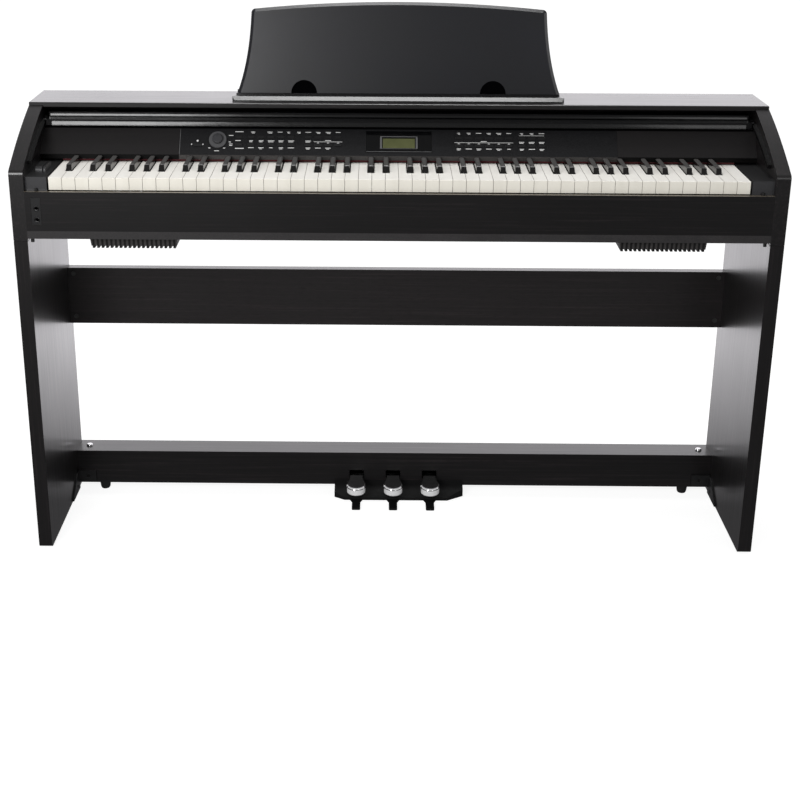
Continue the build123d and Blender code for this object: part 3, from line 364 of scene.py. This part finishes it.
def cheek_paint():
    # Front painted lighter as painted light, top painted darker as painted shade
    paint = Paint("cheek_moulding", IOR=1.48)
    upward = paint.spread(paint.facing()["Z"], 0.6, 0.9)
    # The lighter front is painted light; the darker top is painted shade
    front = ((0.024, 0.024, 0.026), (0.044, 0.044, 0.0475))
    top = ((0.005, 0.005, 0.0053), (0.011, 0.011, 0.0117))
    return two_tone(paint, upward, front, top, rough=(0.5, 0.4), grain=1400.0, depth=0.1)


def panel_paint():
    # Fine speckle on the face; the folded lip below it is plainer and lighter
    paint = Paint("panel_speckle", Specular_IOR_Level=0.3)
    fade = 0.0006
    below = paint.spread(paint.axes()["Z"], panel_foot_z, panel_foot_z + fade, 1.0, 0.0)
    face = ((0.002, 0.002, 0.0026), (0.015, 0.015, 0.0168))
    lip = ((0.030, 0.027, 0.026), (0.050, 0.046, 0.044))
    return two_tone(paint, below, face, lip, rough=(0.52, 0.4), grain=700.0, depth=0.2)


def fascia_paint():
    # Matt face; the fold below it is painted nearly black as painted shade
    paint = Paint("fascia_matt", Specular_IOR_Level=0.1)
    fade = 0.0012
    below = paint.spread(paint.axes()["Z"], panel_foot_z, panel_foot_z + fade, 1.0, 0.0)
    face = ((0.0145, 0.0134, 0.0137), (0.0215, 0.0200, 0.0205))
    fold_painted_shade = ((0.0015, 0.0014, 0.0014), (0.0035, 0.0032, 0.0032))
    return two_tone(paint, below, face, fold_painted_shade, rough=(0.62, 0.5), grain=1300.0, depth=0.1)


def grille_paint():
    # Front wall with pale bars between the ribs, and dark where the ribs are
    paint = Paint("grille_moulding", Specular_IOR_Level=0.25)
    rib_row_start = 0.3935
    rib_pitch = 0.008
    along = paint.calc("SUBTRACT", paint.calc("ABSOLUTE", paint.axes()["X"]), rib_row_start)
    phase = paint.calc("SUBTRACT", paint.calc("FLOORED_MODULO", along, rib_pitch), rib_pitch / 2)
    between = paint.spread(paint.calc("ABSOLUTE", phase), 0.0014, 0.0026)
    forward = paint.spread(paint.facing()["Y"], -0.8, -0.6, 1.0, 0.0)
    bar = paint.calc("MULTIPLY", between, forward)
    dark = ((0.005, 0.0048, 0.0048), (0.011, 0.0105, 0.0104))
    pale = ((0.030, 0.028, 0.0275), (0.052, 0.049, 0.048))
    return two_tone(paint, bar, dark, pale, rough=(0.67, 0.55), grain=1200.0, depth=0.15)


def jack_paint():
    # Black plastic; just inside the mouth, the upward-facing lower side is painted pale grey as a painted
    # glint
    paint = Paint("jack_painted_glint", Specular_IOR_Level=0.25)
    glint_band_end = -0.1465
    fade = 0.0005
    mouth = paint.spread(paint.axes()["Y"], glint_band_end, glint_band_end + fade, 1.0, 0.0)
    painted_glint_mask = paint.calc("MULTIPLY", mouth, paint.spread(paint.facing()["Z"], 0.3, 0.6))
    plastic = ((0.001, 0.001, 0.001), (0.003, 0.003, 0.003))
    bright = ((0.50, 0.50, 0.51), (0.64, 0.64, 0.65))
    return two_tone(paint, painted_glint_mask, plastic, bright, rough=(0.6, 0.5), grain=1200.0, depth=0.1)


def cap_paint():
    # Polished caps on the rail; black plastic ones higher up
    paint = Paint("cap_finish")
    above_rail = 0.2
    upper = paint.calc("GREATER_THAN", paint.axes()["Z"], above_rail)
    marks = paint.noise(paint.place(), scale=120.0)
    bright = paint.mottle(marks, broad_span, (0.72, 0.72, 0.73), (0.84, 0.84, 0.85))
    dark = paint.mottle(marks, broad_span, (0.02, 0.02, 0.02), (0.04, 0.04, 0.04))
    paint.plug(paint.blend(upper, bright, dark), "Base Color")
    paint.plug(paint.calc("SUBTRACT", 1.0, upper), "Metallic")
    polish = paint.spread(marks, *broad_span, 0.08, 0.16)
    paint.plug(paint.calc("ADD", polish, paint.calc("MULTIPLY", upper, 0.3)), "Roughness")
    paint.bump(marks, 0.03, 0.0002, 0.0005)
    return paint.material


def circuit_paint():
    paint = Paint("circuit_mask", IOR=1.5)
    place = paint.place((120, 120, 120))
    bricks = paint.add("ShaderNodeTexBrick", {"Vector": place, "Scale": 2.0, "Mortar Size": 0.12})
    tracks = bricks.outputs["Fac"]
    slow = paint.noise(paint.place(), scale=90.0, detail=2.0)
    board_green = (0.01, 0.09, 0.03)
    track_green = (0.02, 0.16, 0.06)
    paint.plug(paint.blend(tracks, board_green, track_green), "Base Color")
    paint.plug(paint.spread(slow, *broad_span, 0.3, 0.5), "Roughness")
    paint.bump(tracks, strength=0.2, distance=0.0002)
    return paint.material


def print_paint():
    paint = Paint("legend_ink", Specular_IOR_Level=0.3)
    dots = paint.noise(paint.place(), scale=2500.0, detail=2.0)
    paint.plug(paint.mottle(dots, (0.3, 0.6), (0.66, 0.66, 0.66), (0.85, 0.85, 0.84)), "Base Color")
    paint.plug(paint.spread(dots, *broad_span, 0.5, 0.7), "Roughness")
    paint.bump(dots, strength=0.1, distance=0.0001)
    return paint.material


wood_x = laminate("laminate_across", "x")
wood_y = laminate("laminate_deep", "y", tone=1.2, coat_rough=0.28)
wood_z = laminate("laminate_upright", "z", grain=0.6)
wood_panel = laminate("laminate_panel", "x", tone=2.1, grain=0.35)
# The slip's top is painted tan: a painted reflection of the key fronts
wood_slip = laminate("laminate_slip", "x", tone=0.75, top_painted_reflection=(0.15, 0.125, 0.095))
satin = moulding(
    "satin_moulding", (0.008, 0.008, 0.0085), (0.020, 0.020, 0.021),
    rough=0.38, grain=1400.0, depth=0.16, IOR=1.48,
)
bed_edge = moulding(
    "bed_edge_foil", (0.020, 0.0186, 0.019), (0.040, 0.0375, 0.0385),
    rough=0.36, grain=700.0, depth=0.08, edge=0, IOR=1.5,
)
matt_black = moulding(
    "matt_black", (0.004, 0.004, 0.0042), (0.010, 0.010, 0.0105),
    rough=0.6, grain=1200.0, depth=0.15, edge=0, Specular_IOR_Level=0.25,
)
deep_black = moulding(
    "deep_black", (0.001, 0.001, 0.001), (0.003, 0.003, 0.003),
    rough=0.6, grain=1200.0, depth=0.1, edge=0, Specular_IOR_Level=0.15,
)
frame_grey = moulding(
    "frame_grey", (0.10, 0.10, 0.102), (0.16, 0.16, 0.165),
    rough=0.4, grain=1600.0, depth=0.08, edge=0, IOR=1.45,
)
gloss = moulding(
    "gloss_moulding", (0.003, 0.003, 0.0033), (0.007, 0.007, 0.0074),
    rough=0.17, grain=600.0, depth=0.02, edge=0, IOR=1.5,
)
tray_gloss = moulding(
    "tray_gloss", (0.010, 0.010, 0.011), (0.018, 0.018, 0.019),
    rough=0.22, grain=600.0, depth=0.02, edge=0, IOR=1.5,
)
button_skin = moulding(
    "button_moulding", (0.006, 0.006, 0.0065), (0.014, 0.014, 0.015),
    rough=0.42, grain=1600.0, depth=0.12, IOR=1.45,
)
rubber = moulding(
    "rubber_pad", (0.006, 0.006, 0.006), (0.016, 0.016, 0.016),
    rough=0.75, grain=1200.0, depth=0.3, IOR=1.45,
)
window_gloss = moulding(
    "window_gloss", (0.002, 0.002, 0.0024), (0.004, 0.004, 0.0045),
    rough=0.12, grain=500.0, depth=0.02, IOR=1.45,
)
steel = metal("steel_plain", (0.46, 0.46, 0.47), (0.62, 0.62, 0.63), rough=0.24, along="x", depth=0.08)
black_steel = powder_coat("powder_black", (0.008, 0.008, 0.009), (0.018, 0.018, 0.018))
white_keys = white_key_paint()
black_keys = black_key_paint()
ink = print_paint()

# Which nodes wear which finish; the keys are told apart by name
wearers = [
    (wood_x, ["top_board", "back_board", "pedal_rail"]),
    (wood_y, ["left_side_panel", "right_side_panel"]),
    (wood_z, ["left_leg", "right_leg"]),
    (wood_panel, ["modesty_panel"]),
    (wood_slip, ["key_slip"]),
    (bed_edge, ["keybed"]),
    (cheek_paint(), ["cheek_blocks"]),
    (panel_paint(), ["control_panel"]),
    (fascia_paint(), ["fascia_ends"]),
    (window_gloss, ["display_bezel"]),
    (display_paint(), ["display_module"]),
    (knob_paint(), ["volume_knob"]),
    (button_skin, ["power_button", "tone_buttons", "rhythm_buttons", "song_buttons"]),
    (button_skin, ["function_buttons", "jack_plate"]),
    (jack_paint(), ["phone_jacks"]),
    (circuit_paint(), ["panel_circuit_board", "main_circuit_board"]),
    (satin, ["speakers", "terminal_plate"]),
    (grille_paint(), ["speaker_grilles"]),
    (felt_paint(), ["key_felt"]),
    (steel, ["key_chassis", "cover_shaft", "pedal_axle"]),
    (deep_black, ["cover_guides"]),
    (gloss, ["cover_rear_leaf", "cover_front_leaf"]),
    (rest_paint(), ["music_rest"]),
    (tray_gloss, ["music_rest_tray"]),
    (matt_black, ["pedal_housing"]),
    (pedal_paint(), ["pedal_left", "pedal_middle", "pedal_right"]),
    (rubber, ["cover_bumpers", "rail_feet", "leg_glides"]),
    (black_steel, ["stand_brackets", "stand_bolts"]),
    (cap_paint(), ["cap_bolts"]),
]
finishes = {name: finish for finish, names in wearers for name in names}
for name, node in nodes.items():
    if name.startswith("keys_"):
        finish = black_keys if name.endswith("_sharp") else white_keys
    else:
        finish = finishes[name]
    node.data.materials.clear()
    node.data.materials.append(finish)


# Printed legend on the control panel: plain bars and lines in place of words
def panel_step(along, up):
    # A step of so many millimetres along and up the panel
    return Vector((along / 1000, 0, 0)) + panel_up * (up / 1000)


def add_mark(mesh, along, up, width, height, lift=0.00006):
    # A thin closed bar with clipped corners, in millimetres on the panel; its face lies the lift above
    # the panel, in metres, and its foot lies the thickness below its face
    thickness = 0.00012
    half_width = width / 2
    half_height = height / 2
    clip = 0.3 * min(width, height)
    outline = []
    for side, end in ((1, -1), (1, 1), (-1, 1), (-1, -1)):
        near = (side * half_width, end * (half_height - clip))
        far = (side * (half_width - clip), end * half_height)
        outline += [near, far] if side * end > 0 else [far, near]
    rings = []
    for level in (lift, lift - thickness):
        centre = panel_foot + panel_step(along, up) + panel_out * level
        rings.append([mesh.verts.new(centre + panel_step(x, v)) for x, v in outline])
    face, foot = rings
    mesh.faces.new(face)
    mesh.faces.new(foot[::-1])
    for index in range(len(outline)):
        mesh.faces.new((face[index - 1], foot[index - 1], foot[index], face[index]))


def add_marks(name, marks, paint):
    mesh = bmesh.new()
    for mark in marks:
        add_mark(mesh, *mark)
    data = bpy.data.meshes.new(name)
    mesh.to_mesh(data)
    mesh.free()
    sheet = bpy.data.objects.new(name, data)
    scene.collection.objects.link(sheet)
    data.materials.append(paint)
    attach(sheet, "cabinet")


def columns(first, count):
    column_pitch = 18.3
    return [first + column_pitch * index for index in range(count)]


def legend():
    # Every mark is given as along, up, width and height, in millimetres on the panel
    tone = columns(-269.0, 5)
    rhythm = columns(-164.6, 4)
    song = columns(111.0, 6)
    function = columns(226.0, 3)
    tone_names = [-266.0, -235.0, -216.2, -200.8, -182.0]
    bracketed = rhythm[1:] + song
    lengths = [8.0, 9.5, 9.0, 5.5, 7.0, 10.5]
    upper_row = 46.8
    upper_next = 44.7
    function_line = 42.4
    bracket_title = 30.4
    bracket_line = 27.9
    bracket_row = 25.6
    middle_row = 29.4
    middle_next = 27.2
    lower_row = 15.4
    lower_next = 13.2
    fine = 1.0
    plain = 1.1
    bold = 1.2
    marks = []
    for count, x in enumerate(tone_names + rhythm + song + function):
        length = lengths[count % len(lengths)]
        marks.append((x, upper_row, length, plain))
        if count % 3 != 2:
            marks.append((x + 0.8, upper_next, 0.7 * length, fine))
    for count, x in enumerate(tone + rhythm + song + function):
        length = lengths[(count + 3) % len(lengths)] + 1.5
        if x in bracketed:
            marks.append((x, bracket_row, 4.0, bold))
        else:
            marks.append((x, middle_row, length, plain))
            marks.append((x - 0.6, middle_next, 0.8 * length, plain))
        if x != rhythm[3]:
            marks.append((x, lower_row, lengths[(count + 1) % len(lengths)] + 1.0, bold))
        if count % 2:
            marks.append((x - 0.5, lower_next, 0.6 * length, fine))
    # Brackets over the middle row, with their titles, and the line under the function names
    for group in (rhythm[1:], song):
        middle = (group[0] + group[-1]) / 2
        marks.append((middle, bracket_line, group[-1] - group[0] + 16.0, 0.7))
        marks.append((middle, bracket_title, 11.0, bold))
    marks.append((function[1], function_line, 46.0, 0.6))
    # Headings of the three rows, left of the tone buttons
    marks += [(-291.0, 47.2, 15.5, 1.4), (-293.0, 29.5, 10.0, 1.4), (-290.0, 13.9, 16.5, 1.4)]
    # Around the power button
    marks += [(-367.0, 28.6, 3.6, 3.6), (-377.7, 21.6, 1.6, 2.6), (-357.0, 21.6, 1.6, 2.6)]
    # Below the knob, and right of it
    marks += [(-344.8, 14.3, 4.0, 1.3), (-331.4, 8.8, 9.0, 1.2), (-317.9, 14.3, 4.0, 1.3)]
    marks += [(-305.8, 39.6, 8.5, 1.2), (-308.0, 26.5, 4.0, 1.4)]
    marks += [(-306.0, 22.5, 7.0, 1.1), (-306.0, 19.5, 6.0, 1.1)]
    add_marks("panel_legend", marks, ink)


def trims():
    # Frame of the display, sunk in its window; lines at the panel's left end and on the bezel's lower bar
    window_level = -0.00134
    bezel_level = 0.00076
    upright_width = 3.4
    upright_height = 24.0
    bar_width = 68.0
    window_frame = [
        (-31.2, 27.0, upright_width, upright_height),
        (34.2, 27.0, upright_width, upright_height),
        (1.5, 39.6, bar_width, 1.3),
        (1.5, 15.7, bar_width, 0.8),
    ]
    marks = [(*bar, window_level) for bar in window_frame]
    marks += [(-399.2, 26.5, 0.8, 51.0), (1.5, 8.8, 119.0, 0.8, bezel_level)]
    add_marks("panel_trims", marks, frame_grey)


legend()
trims()


# Camera, matched to the photograph's viewpoint; its focal length and centre are in the photograph's pixels
def add_camera():
    photo_size = 800
    focal_length = 1370.291
    centre_x = 365.022
    centre_y = 304.131
    sensor = 36.0
    place = (-0.0373266, -2.4619799, 1.3105637)
    pitch = 0.337438
    yaw = -0.0088692
    roll = 0.0040669
    forward = Vector((math.sin(yaw) * math.cos(pitch), math.cos(yaw) * math.cos(pitch), -math.sin(pitch)))
    right = Vector((math.cos(yaw), -math.sin(yaw), 0.0))
    up = right.cross(forward)
    across = math.cos(roll) * right + math.sin(roll) * up
    upward = -math.sin(roll) * right + math.cos(roll) * up
    lens = bpy.data.cameras.new("camera")
    lens.sensor_width = sensor
    lens.lens = focal_length * sensor / photo_size
    lens.shift_x = (photo_size / 2 - centre_x) / photo_size
    lens.shift_y = (centre_y - photo_size / 2) / photo_size
    camera = bpy.data.objects.new("camera", lens)
    scene.collection.objects.link(camera)
    turn = Matrix((across, upward, -forward)).transposed().to_4x4()
    camera.matrix_world = Matrix.Translation(place) @ turn
    scene.camera = camera


add_camera()


# Stage: a white sweep, floor and backdrop in one sheet
def sweep_paint():
    material = bpy.data.materials.new("sweep_white")
    material.use_nodes = True
    tree = material.node_tree
    tree.nodes.clear()
    path = add_node(tree, "ShaderNodeLightPath").outputs
    place = add_node(tree, "ShaderNodeTexCoord").outputs["Object"]
    axes = add_node(tree, "ShaderNodeSeparateXYZ", {"Vector": place}).outputs
    # Seen in reflections, the sheet is bright behind the piano, dim in front of it and high above it
    behind = add_node(
        tree, "ShaderNodeMapRange",
        {"Value": axes["Y"], "From Min": 0.05, "From Max": 1.0, "To Min": 0.1, "To Max": 1.37},
    ).outputs["Result"]
    above = add_node(
        tree, "ShaderNodeMapRange",
        {"Value": axes["Z"], "From Min": 2.3, "From Max": 3.2, "To Min": 1.0, "To Max": 0.3},
    ).outputs["Result"]
    level = add_node(tree, "ShaderNodeMath", {0: behind, 1: above}, operation="MULTIPLY").outputs["Value"]
    cool_white = (0.985, 0.965, 1.0, 1)
    emission = add_node(tree, "ShaderNodeEmission", {"Color": cool_white, "Strength": level})
    reflected = emission.outputs["Emission"]
    # Seen by the camera, it is nearly white by itself and keeps the piano's shadow
    glow = add_node(tree, "ShaderNodeEmission", {"Strength": 0.88}).outputs["Emission"]
    shaded = add_node(tree, "ShaderNodeBsdfDiffuse", {"Color": (0.3, 0.3, 0.3, 1)}).outputs["BSDF"]
    seen = add_node(tree, "ShaderNodeAddShader", {0: glow, 1: shaded}).outputs["Shader"]
    # To every other ray it is plain pale paint
    lit = add_node(tree, "ShaderNodeBsdfDiffuse", {"Color": (0.75, 0.75, 0.75, 1)}).outputs["BSDF"]
    by_gloss = {0: path["Is Glossy Ray"], 1: lit, 2: reflected}
    unseen = add_node(tree, "ShaderNodeMixShader", by_gloss).outputs["Shader"]
    by_camera = {0: path["Is Camera Ray"], 1: unseen, 2: seen}
    mixed = add_node(tree, "ShaderNodeMixShader", by_camera).outputs["Shader"]
    add_node(tree, "ShaderNodeOutputMaterial", {"Surface": mixed})
    return material


def sweep():
    half_width = 6.0
    near_end = -6.0
    bend_start = 2.6
    bend_radius = 0.8
    bend_steps = 8
    top = 5.0
    profile = [(near_end, 0.0), (bend_start, 0.0)]
    for step in range(1, bend_steps + 1):
        angle = math.radians(90 * step / bend_steps)
        profile.append((bend_start + bend_radius * math.sin(angle), bend_radius * (1 - math.cos(angle))))
    profile.append((bend_start + bend_radius, top))
    mesh = bmesh.new()
    rows = []
    for y, z in profile:
        rows.append([mesh.verts.new((x, y, z)) for x in (-half_width, half_width)])
    for low, high in zip(rows, rows[1:]):
        mesh.faces.new((low[0], low[1], high[1], high[0]))
    data = bpy.data.meshes.new("sweep")
    mesh.to_mesh(data)
    mesh.free()
    for polygon in data.polygons:
        polygon.use_smooth = True
    sheet = bpy.data.objects.new("sweep", data)
    scene.collection.objects.link(sheet)
    data.materials.append(sweep_paint())


sweep()


# Soft studio light
def area(name, place, aim, width, height, power):
    data = bpy.data.lights.new(name, "AREA")
    data.shape = "RECTANGLE"
    data.size = width
    data.size_y = height
    data.energy = power
    lamp = bpy.data.objects.new(name, data)
    scene.collection.objects.link(lamp)
    direction = Vector(aim) - Vector(place)
    lamp.matrix_world = Matrix.Translation(place) @ direction.to_track_quat("-Z", "Y").to_matrix().to_4x4()


area("top_light", place=(0.0, 0.6, 2.9), aim=(0.0, 0.0, 0.8), width=1.2, height=0.9, power=31.0)
area("front_left", place=(-0.98, -1.9, 1.3), aim=(-0.1, 0.0, 0.75), width=0.75, height=0.9, power=24.0)
area("front_right", place=(1.15, -1.9, 1.3), aim=(0.1, 0.0, 0.75), width=0.6, height=0.8, power=2.5)
area("right_side", place=(3.0, 0.4, 1.2), aim=(0.0, 0.0, 0.8), width=1.5, height=1.5, power=10.0)


def studio_world():
    # White to the camera, a soft fill to diffuse rays and less to glossy ones
    diffuse_fill = 0.45
    glossy_fill = 0.2
    world = bpy.data.worlds.new("studio")
    scene.world = world
    world.use_nodes = True
    tree = world.node_tree
    path = add_node(tree, "ShaderNodeLightPath").outputs
    fill = add_node(
        tree, "ShaderNodeMapRange",
        {"Value": path["Is Glossy Ray"], "To Min": diffuse_fill, "To Max": glossy_fill},
    ).outputs["Result"]
    strength = add_node(
        tree, "ShaderNodeMapRange", {"Value": path["Is Camera Ray"], "To Min": fill, "To Max": 1.0}
    ).outputs["Result"]
    background = tree.nodes["Background"].inputs
    background["Color"].default_value = (1, 1, 1, 1)
    tree.links.new(strength, background["Strength"])


studio_world()

scene.view_settings.view_transform = "Standard"
